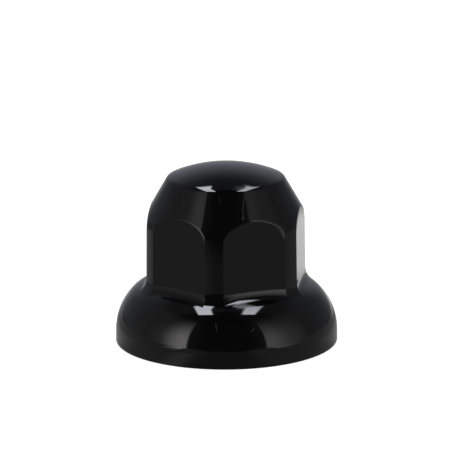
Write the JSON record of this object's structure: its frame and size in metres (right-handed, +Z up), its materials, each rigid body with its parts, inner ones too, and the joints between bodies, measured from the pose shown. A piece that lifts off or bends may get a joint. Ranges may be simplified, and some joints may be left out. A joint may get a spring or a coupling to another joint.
{
  "type": "wheel nut cover cap",
  "caption": "Push-on cover cap for a wheel nut: hexagonal body with a cone-and-dome crown over a round bell flange, hollow, with grip ribs inside.",
  "frame": {"origin": "centre of the rim's resting face", "axes": "+Z up the cap's axis, from the rim to the dome; the hexagon's faces look along +X and -X, its corners along +Y and -Y"},
  "size_m": [0.058, 0.058, 0.047],
  "materials": {
    "gloss_black": "high gloss, injection moulded"
  },
  "bodies": {
    "root": {"cover_cap": "gloss_black"}
  },
  "joints": []
}
